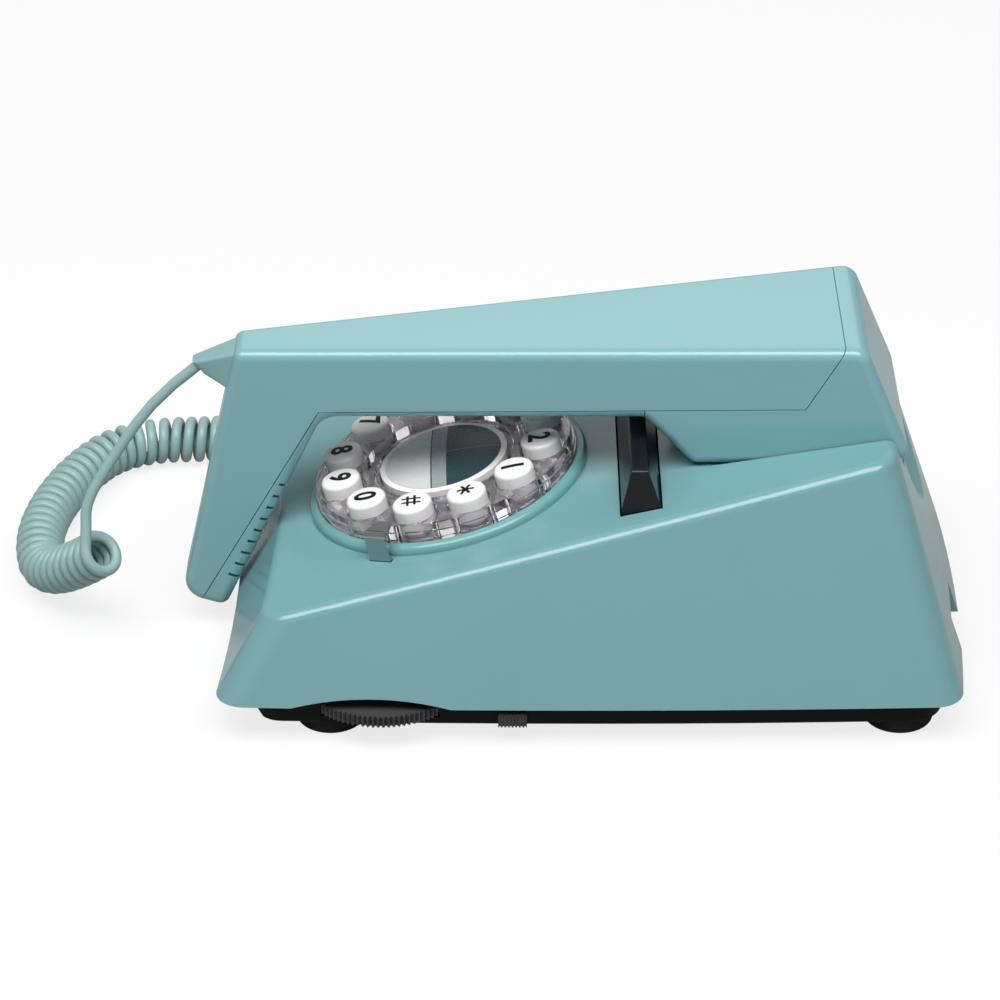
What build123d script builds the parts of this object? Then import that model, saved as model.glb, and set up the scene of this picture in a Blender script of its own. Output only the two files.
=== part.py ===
from build123d import *
import math
import os

os.makedirs("parts", exist_ok=True)

# Sizes are in millimetres. +X points to the rear of the telephone, -Y to its left side, +Z up.
# The feet stand on z = 0.

# Case. The bows say how far each wall's middle stands out beyond its ends, inwards at the front.
skirt_z = 12.0
case_front_x = -97.9
case_rear_x = 105.0
case_half_width = 66.2
side_bow = 1.7
front_bow = -3.9
rear_bow = 3.7
side_lean = 0.4419
front_lean = 0.5576
rear_lean = 0.345
top_z_at_origin = 53.35
top_slope = 0.2353
wall = 2.5
corner_radius = 9.0
ridge_radius = 3.4
arch_x = -54.8
arch_half_length = 21.6
arch_rise = 2.5
jack_notch_width = 19.0
jack_notch_top_z = 22.0
scoop_tip_z = 41.0
scoop_face_radius = 24.0
scoop_depth = 8.0

# Base plate, which fits inside the case
base_side_gap = 0.5
base_front_gap = 7.8
base_rear_gap = 3.0
base_half_width = case_half_width - wall * math.hypot(1, side_lean) - base_side_gap
base_front_x = case_front_x + wall * math.hypot(1, front_lean) + base_front_gap
base_rear_x = case_rear_x - wall * math.hypot(1, rear_lean) - base_rear_gap
base_bottom_z = 5.0
base_edge_chamfer = 0.8
base_front_bevel = 3.8
sheet_thickness = 2.5
rim_thickness = 2.5
rim_top_z = 12.4
foot_radius = 9.6
foot_front_x = -66.2
foot_rear_x = 89.0
foot_inset = 10.8
foot_y = base_half_width - foot_inset
post_positions = [(-79.0, 14.0), (-79.0, -14.0), (84.0, 39.5), (84.0, -39.5)]
post_radius = 4.0
screw_radius = 1.5
screw_head_radius = 2.9
screw_head_height = 1.8
screw_gap = 0.06

# Board and sockets
board_front_x = -4.0
board_rear_x = 76.0
board_half_width = 44.0
board_bottom_z = 12.0
board_thickness = 1.6
board_screw_radius = 1.0
jack_width = 12.4
jack_height = 12.0
jack_depth = 15.0
jack_side_gap = 0.2
jack_opening_width = 9.9
jack_opening_height = 6.9
jack_opening_depth = 11.0
jack_sunk = 0.9
line_jack_y = -27.5
handset_jack_x = -28.0
ringer_x = -56.0
ringer_y = 32.0
ringer_radius = 14.0
ringer_height = 7.0

# Volume wheel and tone slider
wheel_radius = 23.0
wheel_proud = 2.2
wheel_near_y = -(case_half_width + side_bow + wheel_proud)
wheel_x = -52.1
wheel_bottom_z = 7.9
wheel_thickness = 3.0
wheel_play = 0.4
wheel_teeth = 100
wheel_tooth_depth = 1.1
wheel_tooth_width = 0.9
spindle_radius = 3.0
spindle_gap = 0.06
slider_x = -16.6
slider_proud = 1.3
slider_length = 7.8
slider_bottom_z = 5.3
slider_top_z = 9.4
slider_travel = 2.0
slider_gap = 0.4
slider_reach = 4.4
slider_ribs = 8
tongue_half_width = 1.5
tongue_length = 3.0
tone_switch_half_length = 8.0
tone_switch_depth = 8.2
tone_switch_height = 6.0

# Dial, whose heights are measured square to the sloping top face
dial_x = -34.3
bezel_radius = 39.9
bezel_height = 2.6
bezel_bore = 37.4
plate_gap = 0.15
spigot_radius = 36.0
spigot_bore = 34.7
spigot_gap = 0.15
backing_bottom_h = 0.9
backing_thickness = 1.0
plate_top_h = 5.6
key_ring_radius = 29.4
key_first_angle = 15.0
key_top_h = 11.2
key_cap_radius = 5.5
key_neck_radius = 3.8
key_well_gap = 0.45
key_flange_radius = 4.9
key_gap = 0.3
key_travel = 1.5
membrane_top_h = -5.9
membrane_thickness = 1.5
membrane_gap = 0.4
keypad_board_thickness = 1.6
keypad_board_radius = 35.6
lug_ring_radius = 32.9
lug_radius = 2.5
dial_screw_radius = 1.0
redial_radius = 18.2
redial_gap = 0.4
redial_stem_radius = 6.0
redial_rim_h = 6.5
redial_dome_h = 8.2
label_radius = 16.6
label_gap = 0.1
label_thickness = 0.5
stop_angle = 116.0
stop_radius = 42.0
stop_width = 6.4
stop_thickness = 1.2
stop_top_h = 9.0
stop_tip_radius = 35.5
stop_tip_half = 1.6
stop_slot_gap = 0.2

# Hook lever
slot_front_x = 12.4
slot_rear_x = 23.9
slot_half_length = 40.2
lever_gap = 0.4
lever_ridge_front_x = 15.5
lever_ridge_rear_x = 20.0
lever_ridge_half_length = 34.5
lever_eave_z = 58.6
lever_ridge_z = 67.4
lever_bottom_z = 49.0
lever_foot_z = 26.0
switch_gap = 0.4

# Handset. The corners of its side outline are (x, z) pairs.
hand_front_x = -92.5
hand_front_z = 88.6
hand_slope = 0.063
hand_front_half = 7.4
hand_taper = 0.113
hand_draft = 0.01
hand_rear_x = 78.2
block_rear_x = 92.5
block_front_x = 32.7
block_depth = 35.0
under_rear = (19.4, 75.0)
under_front = (-68.9, 69.4)
leg_heel = (-97.6, 6.6)
leg_toe = (-110.2, 9.6)
outline_radii = [2.5, 5.0, 4.0, 4.0, 3.0, 8.0, 3.0, 6.0]
hand_wall = 2.0
hand_edge_radius = 2.8
seam_gap = 0.25
seam_rear = (62.5, 80.8)
seam_front = (-69.9, 71.5)
seam_top = (74.0, 101.5)
seam_leg = (-108.9, 1.0)
cover_split_x = 19.3
rib_gap = 0.3
seat_gap = 0.4
cradle_side_gap = 0.5
cradle_front_gap = 1.5
step_depth = 0.6
hand_screw_radius = 1.2
hand_head_radius = 2.2
hand_head_height = 0.9
cover_screw_x = -40.0
ear_screw_x = 40.0
vent_count = 9
vent_top_z = 47.0
vent_bottom_z = 16.5
vent_width = 1.1
receiver_x = 62.0
receiver_radius = 14.5
receiver_height = 8.0
microphone_z = 25.0
microphone_radius = 4.85
microphone_height = 5.0
boot_seat_z = 82.0
boot_root_width = 11.4
boot_root_height = 13.6
boot_tip = (-102.9, 0.0, 81.2)
boot_exit_slope = 0.8
boot_neck_radius = 2.0

# Cord
wire_radius = 1.55
coil_radius = 5.5
coil_gap_pitch = 3.75
coil_axis_points = [
    (-62.0, 93.0, 7.1),
    (-100.0, 88.5, 7.1),
    (-134.0, 87.0, 7.1),
    (-149.0, 62.0, 7.1),
    (-155.5, 31.0, 7.1),
    (-149.5, 5.0, 7.1),
    (-131.2, -11.0, 27.5),
]
coil_start_phase = 0.25
coil_end_phase = -0.1
end_bend_radius = 7.0
lead_rise = (0.014, 0.36, 0.933)
lead_knee = (-127.3, -3.5, 54.4)
lead_first_run = 15.5
lead_last_run = 7.0
tail_first_run = 15.0
tail_last_run = 13.0
plug_length_in = 10.5
plug_length_out = 3.5
plug_gap = 0.15

all_parts = {}


def top_z(x):
    return top_z_at_origin + top_slope * x


def hand_top_z(x):
    return hand_front_z + hand_slope * (x - hand_front_x)


def hand_half(x, z):
    return hand_front_half + hand_taper * (x - hand_front_x) + hand_draft * (hand_top_z(x) - z)


def prism_y(points, y0, y1):
    face = make_face(Polyline(*[(x, y1, z) for x, z in points], close=True))
    return extrude(face, amount=y1 - y0, dir=(0, -1, 0))


def block(x0, x1, y0, y1, z0, z1):
    return Pos((x0 + x1) / 2, (y0 + y1) / 2, (z0 + z1) / 2) * Box(x1 - x0, y1 - y0, z1 - z0)


def rod(x, y, z0, z1, radius):
    return Pos(x, y, (z0 + z1) / 2) * Cylinder(radius, z1 - z0)


def keep(name, shape):
    all_parts[name] = shape


# Case. Four leaning walls, each bowed in plan, and the sloping top give the wedge.
# The same walls set inwards give the hollow.
case_mid_x = (case_front_x + case_rear_x) / 2
case_half_length = (case_rear_x - case_front_x) / 2
roof_z = 95.0


def wall_space(distance, half_run, bow, lean, inset, low_z, turn):
    reach = 1.2
    out = distance - inset * math.hypot(1, lean) - lean * (low_z - skirt_z)
    end_out = out + bow * (1 - reach**2)
    left = (-reach * half_run, -end_out, low_z)
    right = (reach * half_run, -end_out, low_z)
    curve = ThreePointArc(left, (0, -out - bow, low_z), right)
    rest = Polyline(right, (reach * half_run, 260, low_z), (-reach * half_run, 260, low_z), left)
    way = Vector(0, lean, 1).normalized()
    solid = extrude(make_face(curve + rest), amount=(roof_z - low_z) * math.hypot(1, lean), dir=way)
    return Pos(case_mid_x, 0, 0) * Rot(0, 0, turn) * solid


def wedge(inset, low_z):
    top = top_z_at_origin - inset * math.hypot(1, top_slope)
    far = 140
    space = prism_y(
        [(-far, low_z), (far, low_z), (far, top + top_slope * far), (-far, top - top_slope * far)], -90, 90
    )
    for turn in (0, 180):
        space &= wall_space(case_half_width, case_half_length, side_bow, side_lean, inset, low_z, turn)
    space &= wall_space(case_half_length, case_half_width, rear_bow, rear_lean, inset, low_z, 90)
    space &= wall_space(case_half_length, case_half_width, front_bow, front_lean, inset, low_z, -90)
    return space


outer = wedge(0, skirt_z)
uprights = outer.edges().filter_by(lambda e: abs((e % 0.5).Z) > 0.7)
outer = fillet(uprights, corner_radius)
outer = fillet(outer.faces().sort_by(Axis.Z)[-1].edges(), ridge_radius)
hollow = wedge(wall, skirt_z - 3)


# Cradle recess, as wide as the handset's block and parallel to its underside.
def cradle_space(grow):
    x0 = block_front_x - cradle_front_gap - grow
    x1 = case_rear_x + 8
    z0 = hand_top_z(x0) - block_depth - seat_gap - grow
    z1 = hand_top_z(x1) - block_depth - seat_gap - grow
    h0 = hand_half(x0, z0) + cradle_side_gap + grow
    h1 = hand_half(x1, z1) + cradle_side_gap + grow
    side = prism_y([(x0, z0), (x1, z1), (x1, 130), (x0, 130)], -60, 60)
    plan = make_face(Polyline((x0, -h0), (x1, -h1), (x1, h1), (x0, h0), close=True))
    return side & extrude(plan, amount=140)


def scoop_space(grow):
    ball = (scoop_face_radius**2 + scoop_depth**2) / (2 * scoop_depth)
    lean = math.atan(rear_lean)
    centre_z = scoop_tip_z + scoop_face_radius * math.cos(lean)
    centre_x = case_rear_x + rear_bow - rear_lean * (centre_z - skirt_z)
    out = ball - scoop_depth
    centre = Pos(centre_x + out * math.cos(lean), 0, centre_z + out * math.sin(lean))
    return centre * Sphere(ball + grow)


step_front = slot_rear_x - 1
step_rear = slot_rear_x + 22
step_half = hand_half(step_front, top_z(step_front)) + cradle_side_gap
step_points = [
    (step_front, top_z(step_front) - step_depth),
    (step_rear, top_z(step_rear) - step_depth),
    (step_rear, 120),
    (step_front, 120),
]
cradle_step = prism_y(step_points, -step_half, step_half)

shell = outer - (hollow - cradle_space(wall) - scoop_space(wall))
post_top_z = base_bottom_z + sheet_thickness + 2.5
for x, y in post_positions:
    shell += rod(x, y, skirt_z + 1, 90, post_radius) & outer
    shell += rod(x, y, post_top_z, skirt_z + 4, post_radius)
shell = shell - cradle_space(0) - scoop_space(0) - cradle_step
for x, y in post_positions:
    shell -= rod(x, y, post_top_z - 1, post_top_z + 11, screw_radius + screw_gap)

dial_tilt = math.atan(top_slope)
dial_frame = Plane(
    origin=(dial_x, 0, top_z(dial_x)),
    x_dir=(math.cos(dial_tilt), 0, math.sin(dial_tilt)),
    z_dir=(-math.sin(dial_tilt), 0, math.cos(dial_tilt)),
)


def dial_rod(x, y, h0, h1, radius):
    return dial_frame * Pos(x, y, (h0 + h1) / 2) * Cylinder(radius, h1 - h0)


def on_ring(radius, degrees):
    angle = math.radians(degrees)
    return radius * math.cos(angle), -radius * math.sin(angle)


stop_frame = dial_frame * Rot(0, 0, -stop_angle)
shell -= dial_rod(0, 0, -wall - 4, 4, spigot_radius + spigot_gap)
shell -= stop_frame * Pos(stop_radius, 0, 0) * Box(
    stop_thickness + 2 * stop_slot_gap, stop_width + 2 * stop_slot_gap, 14
)
shell -= block(slot_front_x, slot_rear_x, -slot_half_length, slot_half_length, 50, 70)
arch_radius = (arch_half_length**2 + arch_rise**2) / (2 * arch_rise)
arch_place = Pos(arch_x, -case_half_width, skirt_z + arch_rise - arch_radius)
shell -= arch_place * Rot(90, 0, 0) * Cylinder(arch_radius, 20)
notch_half = jack_notch_width / 2
shell -= block(
    case_rear_x - 10,
    case_rear_x + rear_bow + 5,
    line_jack_y - notch_half,
    line_jack_y + notch_half,
    skirt_z - 1,
    jack_notch_top_z,
)
shell -= block(
    handset_jack_x - notch_half,
    handset_jack_x + notch_half,
    case_half_width - 12,
    case_half_width + side_bow + 5,
    skirt_z - 1,
    jack_notch_top_z,
)
keep("body_shell", shell)

# Base plate, a tray whose rim shows as a black band under the skirt.
sheet_top_z = base_bottom_z + sheet_thickness
base_mid_x = (base_rear_x + base_front_x) / 2


def base_slab(inset, z0, z1):
    front = base_front_x + inset
    rear = base_rear_x - inset
    half = base_half_width - inset
    plan = make_face(
        ThreePointArc((front, -half), (base_mid_x, -half - side_bow), (rear, -half))
        + ThreePointArc((rear, -half), (rear + rear_bow, 0), (rear, half))
        + ThreePointArc((rear, half), (base_mid_x, half + side_bow), (front, half))
        + Line((front, half), (front, -half))
    )
    return Pos(0, 0, z0) * extrude(fillet(plan.vertices(), corner_radius - 1 - inset), amount=z1 - z0)


tray = base_slab(0, base_bottom_z, rim_top_z)
tray = chamfer(tray.faces().sort_by(Axis.Z)[0].edges(), base_edge_chamfer)
tray -= base_slab(rim_thickness, sheet_top_z, rim_top_z + 1)
bevel_points = [
    (base_front_x - 1, base_bottom_z - 1),
    (base_front_x + base_front_bevel + 1, base_bottom_z - 1),
    (base_front_x - 1, base_bottom_z + base_front_bevel + 1),
]
tray -= prism_y(bevel_points, -90, 90)
for x, y in post_positions:
    tray += rod(x, y, sheet_top_z, post_top_z, post_radius + 1)
for x, y in post_positions:
    tray -= rod(x, y, base_bottom_z - 1, sheet_top_z, screw_head_radius + 0.3)
    tray -= rod(x, y, sheet_top_z - 1, post_top_z + 1, screw_radius + 0.2)
board_posts = [
    (x, y)
    for x in (board_front_x + 5, board_rear_x - 5)
    for y in (-board_half_width + 5, board_half_width - 5)
]
for x, y in board_posts:
    tray += rod(x, y, sheet_top_z, board_bottom_z, 3.2)
for x, y in board_posts:
    tray -= rod(x, y, sheet_top_z, board_bottom_z + 1, board_screw_radius + screw_gap)
wheel_y = wheel_near_y + wheel_radius
tray -= rod(wheel_x, wheel_y, wheel_bottom_z - wheel_play, rim_top_z + 1, wheel_radius + wheel_play)
base_side_y = base_half_width + side_bow
slider_back_y = -base_side_y - slider_gap / 4
slider_face_y = slider_back_y - slider_proud
switch_near_y = slider_back_y + slider_reach
slot_half = tongue_half_width + slider_travel + slider_gap
tongue_z = sheet_top_z + slider_gap
tongue_top_z = tongue_z + 1.1
tray -= block(
    slider_x - slot_half,
    slider_x + slot_half,
    slider_face_y,
    switch_near_y,
    sheet_top_z,
    tongue_top_z + slider_gap,
)
jack_slot_half = jack_width / 2 + jack_side_gap
tray -= block(
    base_rear_x - rim_thickness - 1,
    base_rear_x + rear_bow + 2,
    line_jack_y - jack_slot_half,
    line_jack_y + jack_slot_half,
    sheet_top_z,
    rim_top_z + 1,
)
tray -= block(
    handset_jack_x - jack_slot_half,
    handset_jack_x + jack_slot_half,
    base_half_width - rim_thickness - 1,
    base_side_y + 2,
    sheet_top_z,
    rim_top_z + 1,
)
keep("base_plate", tray)

feet = []
for x in (foot_front_x, foot_rear_x):
    for y in (-foot_y, foot_y):
        foot = rod(x, y, 0, base_bottom_z, foot_radius)
        feet.append(fillet(foot.faces().sort_by(Axis.Z)[0].edges(), 1.2))
keep("rubber_feet", Compound(children=feet))

screws = []
for x, y in post_positions:
    head = rod(x, y, sheet_top_z - screw_head_height, sheet_top_z, screw_head_radius)
    slot = block(x - 0.4, x + 0.4, y - 2, y + 2, sheet_top_z - screw_head_height - 1, sheet_top_z - 1.0)
    screws.append(head + rod(x, y, sheet_top_z, post_top_z + 10, screw_radius) - slot)
keep("base_screws", Compound(children=screws))

# Main board, its screws, the hook switch and the two sockets.
board = block(
    board_front_x,
    board_rear_x,
    -board_half_width,
    board_half_width,
    board_bottom_z,
    board_bottom_z + board_thickness,
)
board_top_z = board_bottom_z + board_thickness
for x, y in board_posts:
    board -= rod(x, y, board_bottom_z - 1, board_top_z + 1, 1.2)
keep("main_board", board)
board_screws = []
for x, y in board_posts:
    shank = rod(x, y, board_bottom_z - 4, board_top_z, board_screw_radius)
    board_screws.append(shank + rod(x, y, board_top_z, board_top_z + 1.2, 2.0))
keep("board_screws", Compound(children=board_screws))

lever_mid_x = (lever_ridge_front_x + lever_ridge_rear_x) / 2
switch_top_z = lever_foot_z - switch_gap
switch = block(lever_mid_x - 6, lever_mid_x + 6, -8, 8, board_top_z, switch_top_z - 4)
switch += block(lever_mid_x - 2, lever_mid_x + 2, -4, 4, switch_top_z - 4, switch_top_z)
keep("hook_switch", switch)

jack_mid_z = sheet_top_z + jack_height / 2


def jack():
    body = Pos(-jack_depth / 2, 0, jack_mid_z) * Box(jack_depth, jack_width, jack_height)
    hole = Pos(-jack_opening_depth / 2, 0, jack_mid_z) * Box(
        jack_opening_depth, jack_opening_width, jack_opening_height
    )
    latch = Pos(-jack_opening_depth / 2, 0, jack_mid_z + jack_opening_height / 2 + 0.6) * Box(
        jack_opening_depth, 5.0, 1.6
    )
    return body - hole - latch


line_jack_x = base_rear_x + rear_bow - jack_sunk
handset_jack_y = base_side_y - jack_sunk
keep("line_jack", Pos(line_jack_x, line_jack_y, 0) * jack())
keep("handset_jack", Pos(handset_jack_x, handset_jack_y, 0) * Rot(0, 0, 90) * jack())

ringer_top_z = sheet_top_z + ringer_height
ringer = rod(ringer_x, ringer_y, sheet_top_z, ringer_top_z, ringer_radius)
ringer -= rod(ringer_x, ringer_y, ringer_top_z - 3, ringer_top_z + 1, 3)
keep("ringer", fillet(ringer.faces().sort_by(Axis.Z)[-1].edges(), 0.8))

# Volume wheel on its spindle, and the slider in its switch.
wheel_top_z = wheel_bottom_z + wheel_thickness
wheel = rod(wheel_x, wheel_y, wheel_bottom_z, wheel_top_z, wheel_radius)
tooth_face = make_face(
    Polyline(
        (wheel_radius + 0.5, -wheel_tooth_width, wheel_bottom_z - 1),
        (wheel_radius + 0.5, wheel_tooth_width, wheel_bottom_z - 1),
        (wheel_radius - wheel_tooth_depth, 0, wheel_bottom_z - 1),
        close=True,
    )
)
tooth = extrude(tooth_face, amount=wheel_thickness + 2, dir=(0, 0, 1))
wheel_place = Pos(wheel_x, wheel_y, 0)
wheel -= [wheel_place * Rot(0, 0, 360 * i / wheel_teeth) * tooth for i in range(wheel_teeth)]
wheel -= rod(wheel_x, wheel_y, 0, 20, spindle_radius + spindle_gap)
keep("volume_wheel", wheel)
pot_z = wheel_top_z + 0.5
pot = rod(wheel_x, wheel_y, wheel_bottom_z - wheel_play, pot_z, spindle_radius)
pot += rod(wheel_x, wheel_y, pot_z, pot_z + 3.5, 2 * spindle_radius)
keep("volume_pot", pot)

tongue_end_y = switch_near_y + tongue_length
slider_half = slider_length / 2
slider = block(
    slider_x - slider_half,
    slider_x + slider_half,
    slider_face_y,
    slider_back_y,
    slider_bottom_z,
    slider_top_z,
)
slider += block(
    slider_x - tongue_half_width,
    slider_x + tongue_half_width,
    slider_back_y,
    tongue_end_y,
    tongue_z,
    tongue_top_z,
)
rib_pitch = slider_length / slider_ribs
for i in range(slider_ribs):
    groove_x = slider_x - slider_half + (i + 0.5) * rib_pitch
    slider -= block(groove_x - 0.22, groove_x + 0.22, slider_face_y - 1, slider_face_y + 0.6, 0, 20)
keep("tone_slider", slider)
tone_switch = block(
    slider_x - tone_switch_half_length,
    slider_x + tone_switch_half_length,
    switch_near_y,
    switch_near_y + tone_switch_depth,
    sheet_top_z,
    sheet_top_z + tone_switch_height,
)
tone_switch -= block(
    slider_x - slot_half,
    slider_x + slot_half,
    switch_near_y - 1,
    tongue_end_y + slider_gap,
    tongue_z - slider_gap / 2,
    tongue_top_z + slider_gap,
)
keep("tone_switch", tone_switch)

# Dial. The bezel's spigot stands in the case and carries the plates above and the keypad board below.
bezel = dial_rod(0, 0, 0, bezel_height, bezel_radius)
bezel = fillet(bezel.edges().filter_by(GeomType.CIRCLE).sort_by(Axis.Z)[-1], 2.0)
board_face_h = membrane_top_h - membrane_thickness
bezel += dial_rod(0, 0, board_face_h, 0.1, spigot_radius)
bezel -= dial_rod(0, 0, backing_bottom_h, bezel_height + 1, bezel_bore)
bezel -= dial_rod(0, 0, board_face_h - 1, bezel_height + 1, spigot_bore)
lug_places = [on_ring(lug_ring_radius, 90 * i) for i in range(4)]
for x, y in lug_places:
    bezel += dial_rod(x, y, board_face_h, -0.6, lug_radius)
for x, y in lug_places:
    bezel -= dial_rod(x, y, board_face_h - 1, board_face_h + 5, dial_screw_radius + screw_gap)
keep("dial_bezel", bezel)

key_names = ["2", "1", "star", "hash", "0", "9", "8", "7", "6", "5", "4", "3"]
key_places = [on_ring(key_ring_radius, key_first_angle + 30 * i) for i in range(12)]
backing_top_h = backing_bottom_h + backing_thickness
backing = dial_rod(0, 0, backing_bottom_h, backing_top_h, bezel_bore - plate_gap)
backing -= dial_rod(0, 0, -1, 4, redial_stem_radius + key_gap)
plate = dial_rod(0, 0, backing_top_h, plate_top_h, bezel_bore - plate_gap)
plate = fillet(plate.faces().sort_by(Axis.Z)[-1].edges(), 0.7)
plate -= dial_rod(0, 0, 0, 10, redial_radius + redial_gap)
for x, y in key_places:
    backing -= dial_rod(x, y, 0, 4, key_neck_radius + key_gap)
    plate -= dial_rod(x, y, 0, 10, key_cap_radius + key_well_gap)
keep("dial_backing", backing)
keep("dial_plate", plate)

keypad_board = dial_rod(0, 0, board_face_h - keypad_board_thickness, board_face_h, keypad_board_radius)
membrane = dial_rod(0, 0, board_face_h, membrane_top_h, spigot_bore - membrane_gap)
for x, y in lug_places:
    membrane -= dial_rod(x, y, -20, 0, lug_radius + membrane_gap)
    keypad_board -= dial_rod(x, y, -20, 0, dial_screw_radius + 0.2)
keep("keypad_membrane", membrane)
keep("keypad_board", keypad_board)
dial_screws = []
board_back_h = board_face_h - keypad_board_thickness
for x, y in lug_places:
    shank = dial_rod(x, y, board_back_h, board_face_h + 4, dial_screw_radius)
    dial_screws.append(shank + dial_rod(x, y, board_back_h - 1.3, board_back_h, 2.0))
keep("dial_screws", Compound(children=dial_screws))

stem_bottom_h = membrane_top_h + key_travel + 0.3
flange_top_h = backing_bottom_h - key_gap
cap_edge_h = key_top_h - 0.4
cap_under_h = backing_top_h + key_travel + 0.3
key_outline = Polyline(
    (0, stem_bottom_h),
    (2.6, stem_bottom_h),
    (2.6, flange_top_h - 0.8),
    (key_flange_radius, flange_top_h - 0.8),
    (key_flange_radius, flange_top_h),
    (key_neck_radius, flange_top_h),
    (key_neck_radius, cap_under_h),
    (key_cap_radius, cap_under_h),
    (key_cap_radius, cap_edge_h),
)
key_dome = ThreePointArc((key_cap_radius, cap_edge_h), (key_cap_radius / 2, key_top_h - 0.1), (0, key_top_h))
key_axis_line = Line((0, key_top_h), (0, stem_bottom_h))
key_face = Plane.XZ * make_face(key_outline + key_dome + key_axis_line)
key_solid = revolve(key_face, Axis.Z)
cap_edges = [
    e
    for e in key_solid.edges().filter_by(GeomType.CIRCLE)
    if abs(e.radius - key_cap_radius) < 0.01 and abs(e.position_at(0).Z - cap_edge_h) < 0.01
]
key_solid = fillet(cap_edges, 1.0)
for name, (x, y) in zip(key_names, key_places):
    keep("key_" + name, dial_frame * Pos(x, y, 0) * key_solid)

dome_rise = redial_dome_h - redial_rim_h
dome_ball = (redial_radius**2 + dome_rise**2) / (2 * dome_rise)
redial_bottom_h = backing_top_h + key_travel + 0.3


def dome(radius, sink):
    ball = Pos(0, 0, redial_dome_h - dome_ball - sink) * Sphere(dome_ball)
    column = Pos(0, 0, redial_bottom_h + 10) * Cylinder(radius, 20)
    return column & ball


redial_core = dome(redial_radius, 0) - (dome(label_radius, 0) - dome(label_radius, label_thickness))
redial_core += Pos(0, 0, (redial_bottom_h + stem_bottom_h) / 2 + 0.1) * Cylinder(
    redial_stem_radius, redial_bottom_h - stem_bottom_h + 0.2
)
redial_core += Pos(0, 0, flange_top_h - 0.5) * Cylinder(redial_stem_radius + 1.5, 1.0)
keep("redial_button", dial_frame * redial_core)
keep("redial_label", dial_frame * (dome(label_radius - label_gap, 0) - dome(label_radius, label_thickness)))

stop_profile = Polyline(
    (stop_radius - stop_thickness / 2, -3.0),
    (stop_radius + stop_thickness / 2, -3.0),
    (stop_radius + stop_thickness / 2, stop_top_h),
    (stop_tip_radius, stop_top_h - 0.6),
    (stop_tip_radius, stop_top_h - 0.6 - stop_thickness),
    (stop_radius - stop_thickness / 2, stop_top_h - stop_thickness),
    close=True,
)
strip = extrude(Plane.XZ * make_face(stop_profile), amount=stop_width / 2, both=True)
strip = fillet(strip.edges().filter_by(Axis.Y).group_by(Axis.Z)[-1].sort_by(Axis.X)[-1], 1.6)
for side in (-1, 1):
    nip = make_face(
        Polyline(
            (stop_tip_radius - 1, side * stop_tip_half),
            (stop_tip_radius + 5.0, side * (stop_width / 2 + 0.1)),
            (stop_tip_radius - 1, side * stop_width),
            close=True,
        )
    )
    strip -= extrude(nip, amount=20)
keep("finger_stop", stop_frame * strip)

# Hook lever, a bar with a hipped top that slides straight up in the slot.
lever_x0 = slot_front_x + lever_gap
lever_x1 = slot_rear_x - lever_gap
lever_y = slot_half_length - lever_gap
lever = block(lever_x0, lever_x1, -lever_y, lever_y, lever_bottom_z, lever_eave_z)
lever_low = Pos((lever_x0 + lever_x1) / 2, 0, lever_eave_z) * Rectangle(lever_x1 - lever_x0, 2 * lever_y)
lever_high = Pos(lever_mid_x, 0, lever_ridge_z) * Rectangle(
    lever_ridge_rear_x - lever_ridge_front_x, 2 * lever_ridge_half_length
)
roof = loft([lever_low, lever_high], ruled=True)
roof = fillet(roof.faces().sort_by(Axis.Z)[-1].edges(), 1.0)
lever += roof
lever += block(lever_mid_x - 3, lever_mid_x + 3, -5, 5, lever_foot_z, lever_bottom_z + 1)
keep("hook_lever", lever)

# Handset. One outline, cut by two drafted side planes; the same outline set inwards is its hollow.
hand_outline = [
    (hand_front_x, hand_front_z),
    (hand_rear_x, hand_top_z(hand_rear_x)),
    (block_rear_x, hand_top_z(block_rear_x) - block_depth),
    (block_front_x, hand_top_z(block_front_x) - block_depth),
    under_rear,
    under_front,
    leg_heel,
    leg_toe,
]
leg_outer_lean = (hand_front_x - leg_toe[0]) / (hand_front_z - leg_toe[1])


def hand_form(inset):
    face = Plane.XZ * make_face(Polyline(*hand_outline, close=True))
    if inset:
        face = offset(face, -inset, kind=Kind.INTERSECTION)
    form = extrude(face, amount=60, both=True)
    lean = Vector(hand_taper + hand_draft * hand_slope, 1, -hand_draft).normalized()
    for side in (1, -1):
        normal = Vector(lean.X, side * lean.Y, lean.Z)
        origin = Vector(hand_front_x, -side * hand_front_half, hand_front_z) + normal * inset
        form = split(form, Plane(origin=origin, z_dir=normal), keep=Keep.TOP)
    return form


hand = hand_form(0)
for (x, z), radius in zip(hand_outline, outline_radii):
    corner = [
        e
        for e in hand.edges()
        if abs(e.position_at(0.5).X - x) < 0.01 and abs(e.position_at(0.5).Z - z) < 0.01
    ]
    hand = fillet(corner, radius)
rim = []
for e in hand.edges():
    p = e.position_at(0.5)
    on_top = p.Z > hand_top_z(p.X) - 3.5 and p.X > hand_front_x - 1
    on_rear = p.X > hand_rear_x - 6 and p.Z > hand_top_z(p.X) - block_depth + 5
    on_leg = p.X < hand_front_x - (hand_front_z - p.Z) * leg_outer_lean + 1.5 and p.Z > leg_toe[1] + 6
    if abs(p.Y) > 1 and (on_top or on_rear or on_leg):
        rim.append(e)
hand = fillet(rim, hand_edge_radius)
hand_walls = hand - hand_form(hand_wall)

# Seams between the long back, the inner cover and the earpiece block.
seam_slope = (seam_rear[1] - seam_front[1]) / (seam_rear[0] - seam_front[0])
seam_split = (cover_split_x, seam_rear[1] + seam_slope * (cover_split_x - seam_rear[0]))


def region(points):
    face = offset(Plane.XZ * make_face(Polyline(*points, close=True)), -seam_gap / 2, kind=Kind.INTERSECTION)
    return extrude(face, amount=60, both=True)


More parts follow.
